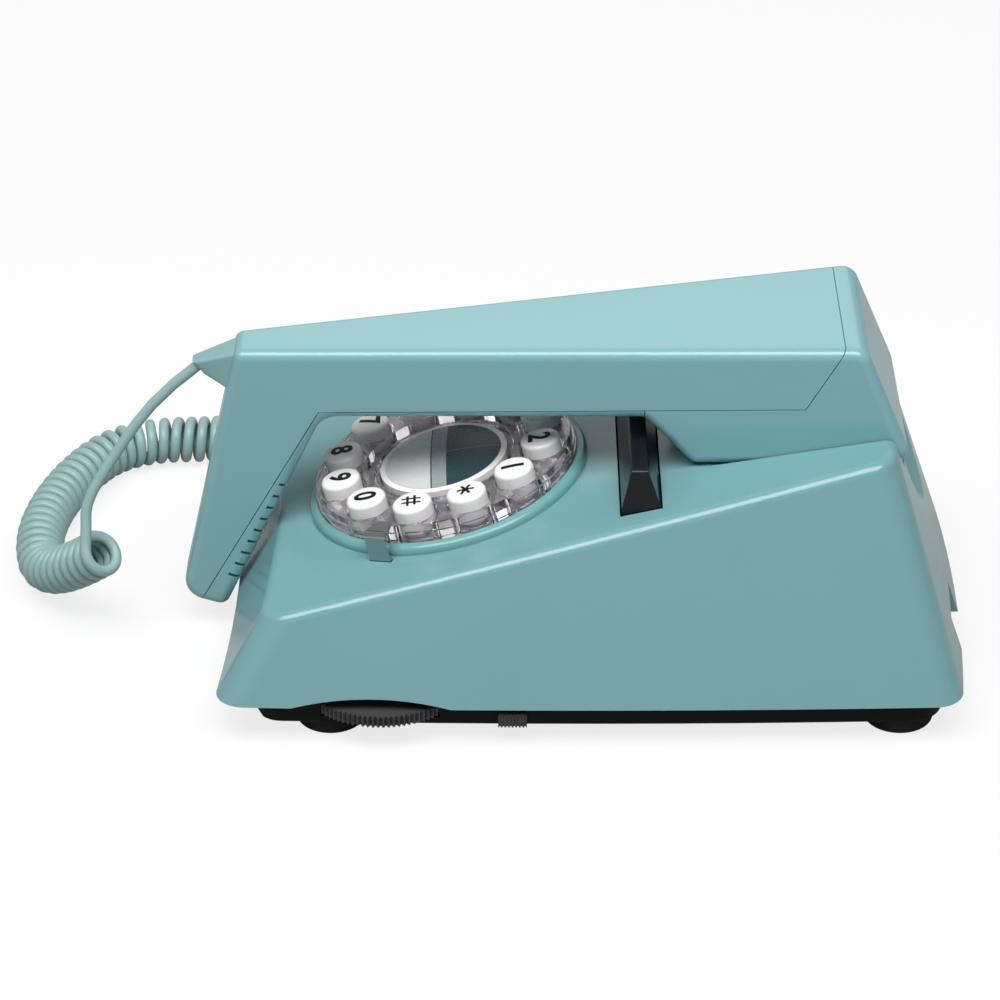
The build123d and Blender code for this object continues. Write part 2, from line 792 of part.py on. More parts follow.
sky = 130
back_region = region(
    [seam_top, seam_rear, seam_front, seam_leg, (-150, -10), (-150, sky), (seam_top[0], sky)]
)
cover_region = region([seam_split, seam_front, seam_leg, (-100, -30), (cover_split_x, -30)])
ear_region = region(
    [seam_split, seam_rear, seam_top, (seam_top[0], sky), (140, sky), (140, -30), (cover_split_x, -30)]
)
hand_back = hand_walls & back_region
hand_cover = hand_walls & cover_region
hand_ear = hand_walls & ear_region

under_slope = (under_rear[1] - under_front[1]) / (under_rear[0] - under_front[0])


def under_z(x):
    return under_front[1] + under_slope * (x - under_front[0])


# The cover's rib rests on the lever's ridge.
hand_cover += block(
    cover_split_x - 4, cover_split_x - 0.4, -4, 4, lever_ridge_z + rib_gap, under_z(cover_split_x) + 0.8
)

# Two screws from below, each into a post of the back.
hand_screws = []
ear_screw_z = hand_top_z(ear_screw_x) - block_depth
post_lift = hand_wall + 0.6
for x, z in [(cover_screw_x, under_z(cover_screw_x)), (ear_screw_x, ear_screw_z)]:
    head_top = z + 0.1 + hand_head_height
    hand_back += rod(x, 0, z + post_lift, hand_top_z(x) - 1, 3.2)
    hand_back -= rod(x, 0, z, z + 11, hand_screw_radius + screw_gap)
    head_hole = rod(x, 0, z - 2, head_top, hand_head_radius + 0.2)
    shank_hole = rod(x, 0, z - 2, z + 4, hand_screw_radius + 0.15)
    hand_cover = hand_cover - head_hole - shank_hole
    hand_ear = hand_ear - head_hole - shank_hole
    head = rod(x, 0, z + 0.1, head_top, hand_head_radius)
    hand_screws.append(head + rod(x, 0, head_top, z + 10, hand_screw_radius))

# Sound slits across the inside of the mouthpiece leg, longer towards its foot.
leg_run = Vector(leg_heel[0] - under_front[0], 0, leg_heel[1] - under_front[1]).normalized()
leg_in = Vector(leg_run.Z, 0, -leg_run.X)


def leg_mark(z):
    return Vector(under_front[0] + (z - under_front[1]) * leg_run.X / leg_run.Z, 0, z)


for i in range(vent_count):
    share = i / (vent_count - 1)
    slit_depth = 2.4 + 1.4 * share
    slit_place = leg_mark(vent_top_z + (vent_bottom_z - vent_top_z) * share)
    slit_frame = Plane(origin=slit_place, x_dir=(0, 1, 0), z_dir=leg_in)
    hand_cover -= slit_frame * Box(60, vent_width, 2 * slit_depth)
microphone_seat = leg_mark(microphone_z) + leg_in * hand_wall
microphone_frame = Plane(origin=microphone_seat, x_dir=(0, 1, 0), z_dir=leg_in)
microphone_rod = Cylinder(microphone_radius, microphone_height)
microphone = microphone_frame * Pos(0, 0, microphone_height / 2) * microphone_rod

floor_tilt = Vector(-hand_slope, 0, 1).normalized()
receiver_frame = Plane(
    origin=Vector(receiver_x, 0, hand_top_z(receiver_x) - block_depth) + floor_tilt * hand_wall,
    x_dir=(floor_tilt.Z, 0, -floor_tilt.X),
    z_dir=floor_tilt,
)
receiver = receiver_frame * Pos(0, 0, receiver_height / 2) * Cylinder(receiver_radius, receiver_height)
sound_holes = [(0, 0)] + [on_ring(6.0, 60 * i) for i in range(6)]
for x, y in sound_holes:
    hand_ear -= receiver_frame * Pos(x, y, -hand_wall / 2) * Cylinder(1.2, hand_wall + 2)

# Boot at the front end of the handset, seated on its rounded end.
boot_seat = Vector(hand_front_x - (hand_front_z - boot_seat_z) * leg_outer_lean, 0, boot_seat_z)
seat_out = Vector(-1, 0, leg_outer_lean).normalized()
cord_out = Vector(-1, 0, -boot_exit_slope).normalized()
root_frame = Plane(origin=boot_seat - seat_out * 2.5, x_dir=(0, 1, 0), z_dir=seat_out)
boot_root = root_frame * Rectangle(boot_root_width, boot_root_height)
boot_end = Plane(origin=boot_tip, x_dir=(0, 1, 0), z_dir=cord_out) * Rectangle(4.8, 5.2)
boot = loft([boot_root, boot_end], ruled=True)
boot = fillet(boot.edges().filter_by(lambda e: abs((e % 0.5).X) > 0.5), 1.0)
boot = boot - hand
neck_frame = Plane(origin=boot_seat, x_dir=(0, 1, 0), z_dir=seat_out)
boot += neck_frame * Pos(0, 0, -1.2) * Cylinder(boot_neck_radius, 3.2)
hand_back -= neck_frame * Pos(0, 0, -2) * Cylinder(boot_neck_radius + 0.05, 6)

keep("handset_back", hand_back)
keep("handset_cover", hand_cover)
keep("earpiece_shell", hand_ear)
keep("handset_screws", Compound(children=hand_screws))
keep("microphone_capsule", microphone)
keep("receiver_capsule", receiver)
keep("strain_relief", boot)

# Cord. The plain runs are straight lines joined by tangent arcs; the curls are chained arcs.
def route_radii(points):
    radii = []
    for a, b, c in zip(points, points[1:], points[2:]):
        first = Vector(b) - Vector(a)
        second = Vector(c) - Vector(b)
        half_turn = math.radians(first.get_angle(second)) / 2
        radii.append(0.45 * min(first.length, second.length) / math.tan(half_turn))
    return radii


def tube(path):
    start = Plane(origin=path @ 0, z_dir=path % 0)
    return sweep(start * Circle(wire_radius), path=path)


def two_arcs(p0, t0, p1, t1):
    v = p1 - p0
    t = t0 + t1
    k = 2 * (1 - t0.dot(t1))
    if k < 1e-6:
        d = v.dot(v) / (2 * v.dot(t))
    else:
        d = (math.sqrt(v.dot(t) ** 2 + k * v.dot(v)) - v.dot(t)) / k
    q0 = p0 + t0 * d
    q1 = p1 - t1 * d
    middle = (q0 + q1) * 0.5
    return [
        Edge.make_tangent_arc(p0, t0, middle),
        Edge.make_tangent_arc(middle, (q1 - q0).normalized(), p1),
    ]


axis_radii = route_radii(coil_axis_points)
axis_line = FilletPolyline(*coil_axis_points, radius=axis_radii)
steps = 2400
axis_places = [axis_line.position_at(i / steps) for i in range(steps + 1)]
axis_ways = [axis_line.tangent_at(i / steps) for i in range(steps + 1)]
step_length = axis_line.length / steps
reach = 30
turns = [0.0]
for i in range(steps):
    low = max(0, i - reach)
    high = min(steps, i + reach)
    curvature = (axis_ways[high] - axis_ways[low]).length / ((high - low) * step_length)
    turns.append(turns[-1] + step_length * (1 - coil_radius * curvature) / coil_gap_pitch)
whole_turns = math.floor(turns[-1]) + coil_start_phase - coil_end_phase - 1
turn_scale = whole_turns / turns[-1]


def curl_frame(i):
    across = axis_ways[i].cross(Vector(0, 0, 1)).normalized()
    down = axis_ways[i].cross(across)
    phase = 2 * math.pi * (coil_start_phase - turns[i] * turn_scale)
    return across, down, phase


def curl(i):
    across, down, phase = curl_frame(i)
    return axis_places[i] + across * (coil_radius * math.cos(phase)) + down * (coil_radius * math.sin(phase))


def curl_way(i):
    across, down, phase = curl_frame(i)
    j = min(i, steps - 1)
    rate = 2 * math.pi * turn_scale * (turns[j + 1] - turns[j]) / step_length
    round_way = across * math.sin(phase) - down * math.cos(phase)
    return (axis_ways[i] + round_way * (coil_radius * rate)).normalized()


marks = [0]
for i in range(1, steps):
    if (turns[i] - turns[marks[-1]]) * turn_scale >= 0.5:
        marks.append(i)
if (turns[steps] - turns[marks[-1]]) * turn_scale < 0.2:
    marks.pop()
marks.append(steps)
curl_points = [curl(i) for i in marks]
curl_ways = [curl_way(i) for i in marks]

straight_end = 2 * wire_radius
tail_way = Vector(-1, 0, 0)
lead_way = Vector(lead_rise).normalized()


def bend_size(t0, t1):
    return end_bend_radius * math.tan(math.radians(t0.get_angle(t1)) / 2)


coil_start = curl_points[0] - (tail_way + curl_ways[0]) * bend_size(tail_way, curl_ways[0])
coil_end = curl_points[-1] + (curl_ways[-1] + lead_way) * bend_size(curl_ways[-1], lead_way)
tail_join = coil_start - tail_way * straight_end
lead_join = coil_end + lead_way * straight_end
coil_edges = [Edge.make_line(tail_join, coil_start)]
coil_edges += two_arcs(coil_start, tail_way, curl_points[0], curl_ways[0])
for i in range(len(marks) - 1):
    coil_edges += two_arcs(curl_points[i], curl_ways[i], curl_points[i + 1], curl_ways[i + 1])
coil_edges += two_arcs(curl_points[-1], curl_ways[-1], coil_end, lead_way)
coil_edges.append(Edge.make_line(coil_end, lead_join))
coil_path = Wire(coil_edges)
coil = tube(coil_path)
keep("cord_coil", coil)

samples = []
along = 0.0
for edge in coil_edges:
    count = max(2, int(edge.length / 0.7))
    for j in range(count):
        samples.append((along + edge.length * j / count, edge.position_at(j / count)))
    along += edge.length
least = 1e9
for i, (s0, p0) in enumerate(samples):
    for s1, p1 in samples[i + 1 :]:
        if s1 - s0 > 60:
            break
        if s1 - s0 > 12:
            least = min(least, (p1 - p0).length)
print("coil turns", round(whole_turns, 2), "least gap", round(least - 2 * wire_radius, 3))
print("axis radii", [round(r, 1) for r in axis_radii])

# Plain lead from the boot to the curls, and plain tail from the curls to the plug.
plug_back_y = handset_jack_y + plug_length_out
lead_points = [
    Vector(boot_tip),
    Vector(boot_tip) + cord_out * lead_first_run,
    Vector(lead_knee),
    lead_join + lead_way * lead_last_run,
    lead_join,
]
tail_points = [
    tail_join,
    tail_join - tail_way * tail_first_run,
    Vector(handset_jack_x, plug_back_y + tail_last_run, jack_mid_z),
    Vector(handset_jack_x, plug_back_y, jack_mid_z),
]
for name, points in [("cord_lead", lead_points), ("cord_tail", tail_points)]:
    radii = route_radii(points)
    line = FilletPolyline(*points, radius=radii)
    plain = tube(line)
    keep(name, plain)
    ideal = math.pi * wire_radius**2 * line.length
    print(name, "radii", [round(r, 1) for r in radii])
    print(name, "volume", round(plain.volume, 1), "of", round(ideal, 1))
    print(name, "points", [tuple(round(c, 2) for c in p) for p in points])

plug = block(
    handset_jack_x - jack_opening_width / 2 + plug_gap,
    handset_jack_x + jack_opening_width / 2 - plug_gap,
    handset_jack_y - plug_length_in,
    plug_back_y,
    jack_mid_z - jack_opening_height / 2 + plug_gap,
    jack_mid_z + jack_opening_height / 2 - plug_gap,
)
keep("cord_plug", plug)

for name, shape in all_parts.items():
    export_step(shape, "parts/" + name + ".step")
    print(name, len(shape.solids()), round(shape.volume, 1), shape.is_valid)
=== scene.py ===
import math
import bmesh
import bpy
from mathutils import Matrix, Vector


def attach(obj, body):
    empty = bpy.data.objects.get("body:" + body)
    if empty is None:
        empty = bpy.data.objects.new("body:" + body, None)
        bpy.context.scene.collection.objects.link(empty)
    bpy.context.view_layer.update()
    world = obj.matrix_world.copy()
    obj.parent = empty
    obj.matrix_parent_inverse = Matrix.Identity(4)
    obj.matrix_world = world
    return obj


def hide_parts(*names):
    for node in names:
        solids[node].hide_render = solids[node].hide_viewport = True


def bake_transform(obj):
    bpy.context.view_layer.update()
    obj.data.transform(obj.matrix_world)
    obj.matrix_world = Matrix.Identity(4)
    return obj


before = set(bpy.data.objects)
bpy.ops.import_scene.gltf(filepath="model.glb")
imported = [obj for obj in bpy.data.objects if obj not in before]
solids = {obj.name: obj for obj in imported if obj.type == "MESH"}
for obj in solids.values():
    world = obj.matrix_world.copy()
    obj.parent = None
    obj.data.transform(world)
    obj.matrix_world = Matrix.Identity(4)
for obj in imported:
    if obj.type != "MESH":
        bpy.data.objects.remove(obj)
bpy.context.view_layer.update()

# Room. A pale table top under a soft light overhead and a low one behind, with white all round it,
# seen from the telephone's left side and from above.
eye = Vector((-0.0200, -0.9369, 0.5929))
aim = Vector((-0.0200, 0.0, 0.03773))
lens_length = 139.5
camera_data = bpy.data.cameras.new("camera")
camera_data.lens = lens_length
camera_data.sensor_width = 36.0
camera = bpy.data.objects.new("camera", camera_data)
camera.location = eye
camera.rotation_euler = (aim - eye).to_track_quat("-Z", "Y").to_euler()
bpy.context.scene.collection.objects.link(camera)
bpy.context.scene.camera = camera
bpy.context.scene.view_settings.view_transform = "Standard"


def seen_straight(tree, mirrored):
    """1 for rays from the eye or through glass, a share for mirrored ones, 0 for light round the room."""
    path = tree.nodes.new("ShaderNodeLightPath")
    mirror = tree.nodes.new("ShaderNodeMath")
    mirror.operation = "MULTIPLY"
    mirror.inputs[1].default_value = mirrored
    tree.links.new(path.outputs["Is Glossy Ray"], mirror.inputs[0])
    either = tree.nodes.new("ShaderNodeMath")
    either.operation = "MAXIMUM"
    tree.links.new(path.outputs["Is Camera Ray"], either.inputs[0])
    tree.links.new(mirror.outputs[0], either.inputs[1])
    any_of = tree.nodes.new("ShaderNodeMath")
    any_of.operation = "MAXIMUM"
    tree.links.new(either.outputs[0], any_of.inputs[0])
    tree.links.new(path.outputs["Is Transmission Ray"], any_of.inputs[1])
    return any_of.outputs[0]


world = bpy.data.worlds.new("room")
bpy.context.scene.world = world
world.use_nodes = True
room_tree = world.node_tree
room_light = room_tree.nodes["Background"]
room_light.inputs["Color"].default_value = (1.0, 1.0, 1.0, 1.0)
room_fill = 0.22
room_mirrored = 0.15
room_white = room_tree.nodes.new("ShaderNodeMapRange")
room_white.inputs["To Min"].default_value = room_fill
room_white.inputs["To Max"].default_value = 1.0
room_tree.links.new(seen_straight(room_tree, room_mirrored), room_white.inputs["Value"])
room_tree.links.new(room_white.outputs["Result"], room_light.inputs["Strength"])


def soft_box(name, place, width, depth, watts):
    """A flat studio light that faces the telephone."""
    lamp = bpy.data.lights.new(name, "AREA")
    lamp.shape = "RECTANGLE"
    lamp.size = width
    lamp.size_y = depth
    lamp.energy = watts
    holder = bpy.data.objects.new(name, lamp)
    holder.location = place
    holder.rotation_euler = (aim - Vector(place)).to_track_quat("-Z", "Y").to_euler()
    bpy.context.scene.collection.objects.link(holder)


soft_box("overhead_light", place=(-0.1, -0.45, 1.2), width=1.6, depth=0.7, watts=21.0)
soft_box("back_light", place=(0.16, 1.35, 0.78), width=1.0, depth=0.5, watts=1.3)

floor_half = 4.0
floor_mesh = bpy.data.meshes.new("floor")
floor_corners = [
    (-floor_half, -floor_half),
    (floor_half, -floor_half),
    (floor_half, floor_half),
    (-floor_half, floor_half),
]
floor_mesh.from_pydata([(x, y, 0.0) for x, y in floor_corners], [], [(0, 1, 2, 3)])
floor = bpy.data.objects.new("floor", floor_mesh)
bpy.context.scene.collection.objects.link(floor)
floor_paint = bpy.data.materials.new("pale_table")
floor_paint.use_nodes = True
floor_tree = floor_paint.node_tree
floor_matt = floor_tree.nodes["Principled BSDF"]
floor_mirrored = 0.1
floor_glow_share = 0.8
floor_bounce_grey = 0.4
floor_seen_grey = 0.86
floor_seen = seen_straight(floor_tree, floor_mirrored)
floor_tone = floor_tree.nodes.new("ShaderNodeMix")
floor_tone.data_type = "RGBA"
floor_tone.inputs["A"].default_value = (*[floor_bounce_grey] * 3, 1.0)
floor_tone.inputs["B"].default_value = (*[floor_seen_grey] * 3, 1.0)
floor_tree.links.new(floor_seen, floor_tone.inputs["Factor"])
floor_tree.links.new(floor_tone.outputs["Result"], floor_matt.inputs["Base Color"])
floor_matt.inputs["Roughness"].default_value = 0.9
floor_glow = floor_tree.nodes.new("ShaderNodeEmission")
floor_mix = floor_tree.nodes.new("ShaderNodeMixShader")
floor_share = floor_tree.nodes.new("ShaderNodeMath")
floor_share.operation = "MULTIPLY"
floor_share.inputs[1].default_value = floor_glow_share
floor_tree.links.new(floor_seen, floor_share.inputs[0])
floor_tree.links.new(floor_share.outputs[0], floor_mix.inputs["Fac"])
floor_tree.links.new(floor_matt.outputs["BSDF"], floor_mix.inputs[1])
floor_tree.links.new(floor_glow.outputs["Emission"], floor_mix.inputs[2])
floor_tree.links.new(floor_mix.outputs["Shader"], floor_tree.nodes["Material Output"].inputs["Surface"])
floor.data.materials.append(floor_paint)

# Case. A hollow wedge moulded in one piece of glossy grey-green plastic,
# with rounded edges, a recess for the earpiece and a finger scoop behind it.
case_colour = (0.175, 0.366, 0.382)


def moulded(name, colour, gloss, gloss_spread, grain, grain_depth, mottle=0.03, shine=0.5):
    """Moulded plastic: its colour, the roughness of its polish, and the fine waviness left by the tool."""
    made = bpy.data.materials.new(name)
    made.use_nodes = True
    tree = made.node_tree
    shader = tree.nodes["Principled BSDF"]
    shader.inputs["Specular IOR Level"].default_value = shine
    place = tree.nodes.new("ShaderNodeTexCoord").outputs["Object"]
    flow = tree.nodes.new("ShaderNodeTexNoise")
    flow_marks_per_metre = 28.0
    flow.inputs["Scale"].default_value = flow_marks_per_metre
    flow.inputs["Detail"].default_value = 4.0
    tree.links.new(place, flow.inputs["Vector"])
    shade = tree.nodes.new("ShaderNodeMix")
    shade.data_type = "RGBA"
    shade.inputs["A"].default_value = (*[c * (1 - mottle) for c in colour], 1.0)
    shade.inputs["B"].default_value = (*[c * (1 + mottle) for c in colour], 1.0)
    tree.links.new(flow.outputs["Fac"], shade.inputs["Factor"])
    tree.links.new(shade.outputs["Result"], shader.inputs["Base Color"])
    polish = tree.nodes.new("ShaderNodeMapRange")
    polish.inputs["To Min"].default_value = gloss - gloss_spread
    polish.inputs["To Max"].default_value = gloss + gloss_spread
    tree.links.new(flow.outputs["Fac"], polish.inputs["Value"])
    tree.links.new(polish.outputs["Result"], shader.inputs["Roughness"])
    skin = tree.nodes.new("ShaderNodeTexNoise")
    skin.inputs["Scale"].default_value = 1.0 / grain
    skin.inputs["Detail"].default_value = 3.0
    tree.links.new(place, skin.inputs["Vector"])
    bump = tree.nodes.new("ShaderNodeBump")
    bump.inputs["Strength"].default_value = 1.0
    bump.inputs["Distance"].default_value = grain_depth
    tree.links.new(skin.outputs["Fac"], bump.inputs["Height"])
    tree.links.new(bump.outputs["Normal"], shader.inputs["Normal"])
    return made


def dress(material, *names):
    for name in names:
        solids[name].data.materials.clear()
        solids[name].data.materials.append(material)


case_plastic = moulded(
    "case_plastic",
    colour=case_colour,
    gloss=0.19,
    gloss_spread=0.03,
    grain=0.004,
    grain_depth=0.000004,
    shine=0.65,
)
dress(case_plastic, "body_shell")

# Base. A black tray screwed up into the case from below, on four soft round feet.
base_black = moulded(
    "base_black",
    colour=(0.006, 0.007, 0.007),
    gloss=0.42,
    gloss_spread=0.06,
    grain=0.0006,
    grain_depth=0.00002,
    shine=0.1,
)
foot_rubber = moulded(
    "foot_rubber",
    colour=(0.016, 0.016, 0.016),
    gloss=0.62,
    gloss_spread=0.08,
    grain=0.0008,
    grain_depth=0.00003,
    shine=0.15,
)
dress(base_black, "base_plate")
dress(foot_rubber, "rubber_feet", "keypad_membrane")


def bright_metal(name, colour, gloss, brush):
    """Plated or polished metal with faint marks that run along X."""
    made = bpy.data.materials.new(name)
    made.use_nodes = True
    tree = made.node_tree
    shader = tree.nodes["Principled BSDF"]
    shader.inputs["Base Color"].default_value = (*colour, 1.0)
    shader.inputs["Metallic"].default_value = 1.0
    place = tree.nodes.new("ShaderNodeTexCoord").outputs["Object"]
    stretch = tree.nodes.new("ShaderNodeMapping")
    marks_along = 200.0
    marks_across = 4000.0
    stretch.inputs["Scale"].default_value = (marks_along, marks_across, marks_across)
    tree.links.new(place, stretch.inputs["Vector"])
    marks = tree.nodes.new("ShaderNodeTexNoise")
    marks.inputs["Scale"].default_value = 1.0
    tree.links.new(stretch.outputs["Vector"], marks.inputs["Vector"])
    polish = tree.nodes.new("ShaderNodeMapRange")
    polish.inputs["To Min"].default_value = gloss
    polish.inputs["To Max"].default_value = gloss + brush
    tree.links.new(marks.outputs["Fac"], polish.inputs["Value"])
    tree.links.new(polish.outputs["Result"], shader.inputs["Roughness"])
    return made


screw_steel = bright_metal("screw_steel", colour=(0.55, 0.55, 0.56), gloss=0.25, brush=0.15)
dress(screw_steel, "base_screws", "board_screws", "dial_screws", "handset_screws")

# Board and what is soldered to it. Green board, black moulded sockets, switches and capsules.
board_green = moulded(
    "board_green",
    colour=(0.03, 0.13, 0.06),
    gloss=0.3,
    gloss_spread=0.08,
    grain=0.0015,
    grain_depth=0.00003,
    mottle=0.25,
)
inner_black = moulded(
    "inner_black",
    colour=(0.02, 0.02, 0.021),
    gloss=0.4,
    gloss_spread=0.08,
    grain=0.0006,
    grain_depth=0.00002,
    shine=0.25,
)
dress(board_green, "main_board", "keypad_board")
dress(inner_black, "hook_switch", "line_jack", "handset_jack", "ringer", "volume_pot", "tone_switch")
dress(inner_black, "microphone_capsule", "receiver_capsule")

# Volume wheel and tone slider. Dark grey moulded pieces whose teeth and ribs show under the skirt.
wheel_grey = moulded(
    "wheel_grey",
    colour=(0.055, 0.055, 0.056),
    gloss=0.4,
    gloss_spread=0.08,
    grain=0.0006,
    grain_depth=0.00002,
)
dress(wheel_grey, "volume_wheel", "tone_slider")

# Dial collar and the satin backing under the clear plate.
bezel_plastic = moulded(
    "bezel_plastic",
    colour=(0.16, 0.38, 0.375),
    gloss=0.16,
    gloss_spread=0.03,
    grain=0.004,
    grain_depth=0.000004,
)
backing_grey = moulded(
    "backing_grey",
    colour=(0.42, 0.39, 0.42),
    gloss=0.45,
    gloss_spread=0.08,
    grain=0.0008,
    grain_depth=0.00002,
)
dress(bezel_plastic, "dial_bezel")
dress(backing_grey, "dial_backing")

# Clear plate. Polished clear plastic, moulded with a stepped rim, a groove round the middle
# and a well for each button; it lies on the backing inside the collar.
dial_x = -0.0343
case_top_z = 0.05335
case_slope = 0.2353
dial_tilt = math.atan(case_slope)
dial_centre = Vector((dial_x, 0.0, case_top_z + case_slope * dial_x))
dial_place = Matrix.Translation(dial_centre) @ Matrix.Rotation(-dial_tilt, 4, "Y")
key_ring_radius = 0.0294
key_count = 12
key_first_angle = 15.0
key_step_angle = 360.0 / key_count
plate_bottom = 0.00195
plate_top = 0.0056
plate_crown = 0.0075
plate_segments = 144
well_segments = 40
plate_sharp_angle = math.radians(25)


def ring_place(number):
    angle = math.radians(key_first_angle + key_step_angle * number)
    return Vector((key_ring_radius * math.cos(angle), -key_ring_radius * math.sin(angle), 0.0))


def turned(name, profile, segments):
    """A closed ring turned from a profile of (radius, height) points."""
    form = bmesh.new()
    rows = []
    for i in range(segments):
        angle = 2 * math.pi * i / segments
        rows.append([form.verts.new((r * math.cos(angle), r * math.sin(angle), h)) for r, h in profile])
    for i in range(segments):
        a = rows[i]
        b = rows[(i + 1) % segments]
        for j in range(len(profile)):
            k = (j + 1) % len(profile)
            form.faces.new((a[j], b[j], b[k], a[k]))
    bmesh.ops.recalc_face_normals(form, faces=form.faces)
    mesh = bpy.data.meshes.new(name)
    form.to_mesh(mesh)
    form.free()
    piece = bpy.data.objects.new(name, mesh)
    bpy.context.scene.collection.objects.link(piece)
    return piece


plate_profile = [
    (0.0372, plate_bottom),
    (0.0372, 0.0031),
    (0.0368, 0.0033),
    (0.0368, 0.0040),
    (0.0371, 0.0042),
    (0.0371, 0.0054),
    (0.0367, plate_top),
    (0.0367, 0.0066),
    (0.0364, 0.0073),
    (0.0360, plate_crown),
    (0.0228, plate_crown),
    (0.0226, plate_top),
    (0.0223, 0.0049),
    (0.0216, 0.0049),
    (0.0213, 0.0054),
    (0.0202, 0.0054),
    (0.0199, 0.0048),
    (0.0194, 0.0048),
    (0.0191, 0.0054),
    (0.0187, 0.0052),
    (0.0187, plate_bottom),
]
plate = turned("clear_dial_plate", plate_profile, plate_segments)
well_profile = [
    (0.00595, 0.0),
    (0.00595, 0.0067),
    (0.0063, 0.0072),
    (0.0064, 0.0090),
    (0.0001, 0.0090),
    (0.0001, 0.0),
]
wells = []
for number in range(key_count):
    well = turned("well", well_profile, well_segments)
    well.data.transform(Matrix.Translation(ring_place(number)))
    wells.append(well)
cutter_form = bmesh.new()
for well in wells:
    cutter_form.from_mesh(well.data)
cutter_mesh = bpy.data.meshes.new("wells")
cutter_form.to_mesh(cutter_mesh)
cutter_form.free()
for well in wells:
    bpy.data.objects.remove(well)
cutter = bpy.data.objects.new("wells", cutter_mesh)
bpy.context.scene.collection.objects.link(cutter)
cut = plate.modifiers.new("wells", "BOOLEAN")
cut.operation = "DIFFERENCE"
cut.solver = "EXACT"
cut.object = cutter
plate_done = bpy.data.meshes.new_from_object(plate.evaluated_get(bpy.context.evaluated_depsgraph_get()))
plate.modifiers.clear()
plate.data = plate_done
bpy.data.objects.remove(cutter)
plate.data.transform(dial_place)
plate.data.shade_smooth()
plate.data.set_sharp_from_angle(angle=plate_sharp_angle)


def clear_moulding(name, colour, gloss):
    """Clear polished plastic with a bright skin and the faint flow lines of its mould."""
    made = bpy.data.materials.new(name)
    made.use_nodes = True
    tree = made.node_tree
    shader = tree.nodes["Principled BSDF"]
    shader.inputs["Base Color"].default_value = (*colour, 1.0)
    shader.inputs["Transmission Weight"].default_value = 1.0
    light_bending = 1.3
    shader.inputs["IOR"].default_value = light_bending
    shader.inputs["Coat Weight"].default_value = 1.0
    shader.inputs["Coat Roughness"].default_value = 0.03
    place = tree.nodes.new("ShaderNodeTexCoord").outputs["Object"]
    flow = tree.nodes.new("ShaderNodeTexNoise")
    flow_lines_per_metre = 150.0
    flow.inputs["Scale"].default_value = flow_lines_per_metre
    tree.links.new(place, flow.inputs["Vector"])
    polish = tree.nodes.new("ShaderNodeMapRange")
    polish.inputs["To Min"].default_value = gloss
    polish.inputs["To Max"].default_value = gloss * 2
    tree.links.new(flow.outputs["Fac"], polish.inputs["Value"])
    tree.links.new(polish.outputs["Result"], shader.inputs["Roughness"])
    bump = tree.nodes.new("ShaderNodeBump")
    flow_line_depth = 0.00003
    bump.inputs["Distance"].default_value = flow_line_depth
    tree.links.new(flow.outputs["Fac"], bump.inputs["Height"])
    tree.links.new(bump.outputs["Normal"], shader.inputs["Normal"])
    return made


clear_plastic = clear_moulding("clear_plastic", colour=(0.80, 0.76, 0.79), gloss=0.02)
plate.data.materials.clear()
plate.data.materials.append(clear_plastic)
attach(plate, "base")
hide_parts("dial_plate")
dress(clear_plastic, "cord_plug")

# Buttons. Twelve glossy white caps with a black number or sign printed on each domed top,
# all of them upright for a person at the low front end.
key_white = moulded(
    "key_white",
    colour=(0.90, 0.89, 0.88),
    gloss=0.14,
    gloss_spread=0.03,
    grain=0.003,
    grain_depth=0.000003,
    mottle=0.01,
)
print_black = moulded(
    "print_black",
    colour=(0.008, 0.008, 0.009),
    gloss=0.4,
    gloss_spread=0.05,
    grain=0.0004,
    grain_depth=0.000004,
    shine=0.1,
)
key_names = ["2", "1", "star", "hash", "0", "9", "8", "7", "6", "5", "4", "3"]
key_top = 0.0112
key_cap_radius = 0.0055
key_crown = 0.0004
figure_height = 0.0064
hash_height = 0.0055
star_height = 0.0048
print_lift = 0.00003
figure_boldness = 0.034
bar_lift = 0.002
print_longest_edge = 0.0006


def figure_shape(figure):
    """A number in a bold plain face, as a flat mesh about one unit tall."""
    line = bpy.data.curves.new("figure", "FONT")
    line.body = figure
    line.size = 1.0
    line.offset = figure_boldness
    writer = bpy.data.objects.new("figure", line)
    bpy.context.scene.collection.objects.link(writer)
    flat = bpy.data.meshes.new_from_object(writer.evaluated_get(bpy.context.evaluated_depsgraph_get()))
    bpy.data.objects.remove(writer)
    form = bmesh.new()
    form.from_mesh(flat)
    bmesh.ops.triangulate(form, faces=form.faces)
    return form


def bar_shape(bars):
    """A sign built of straight bars, each given by its middle, length, width and turn in degrees."""
    form = bmesh.new()
    for level, (x, y, length, width, turn) in enumerate(bars):
        spin = Matrix.Rotation(math.radians(turn), 4, "Z")
        corners = [(-length, -width), (length, -width), (length, width), (-length, width)]
        middle = Vector((x, y, bar_lift * level))
        rim = [form.verts.new(spin @ Vector((u / 2, v / 2, 0.0)) + middle) for u, v in corners]
        form.faces.new(rim)
    bmesh.ops.triangulate(form, faces=form.faces)
    return form


star_bars = [(0.0, 0.0, 1.0, 0.17, turn) for turn in (90, 30, 150)]
hash_bars = [(x, 0.0, 1.0, 0.13, 80) for x in (-0.19, 0.19)]
hash_bars += [(0.0, y, 0.9, 0.13, 0) for y in (-0.18, 0.18)]


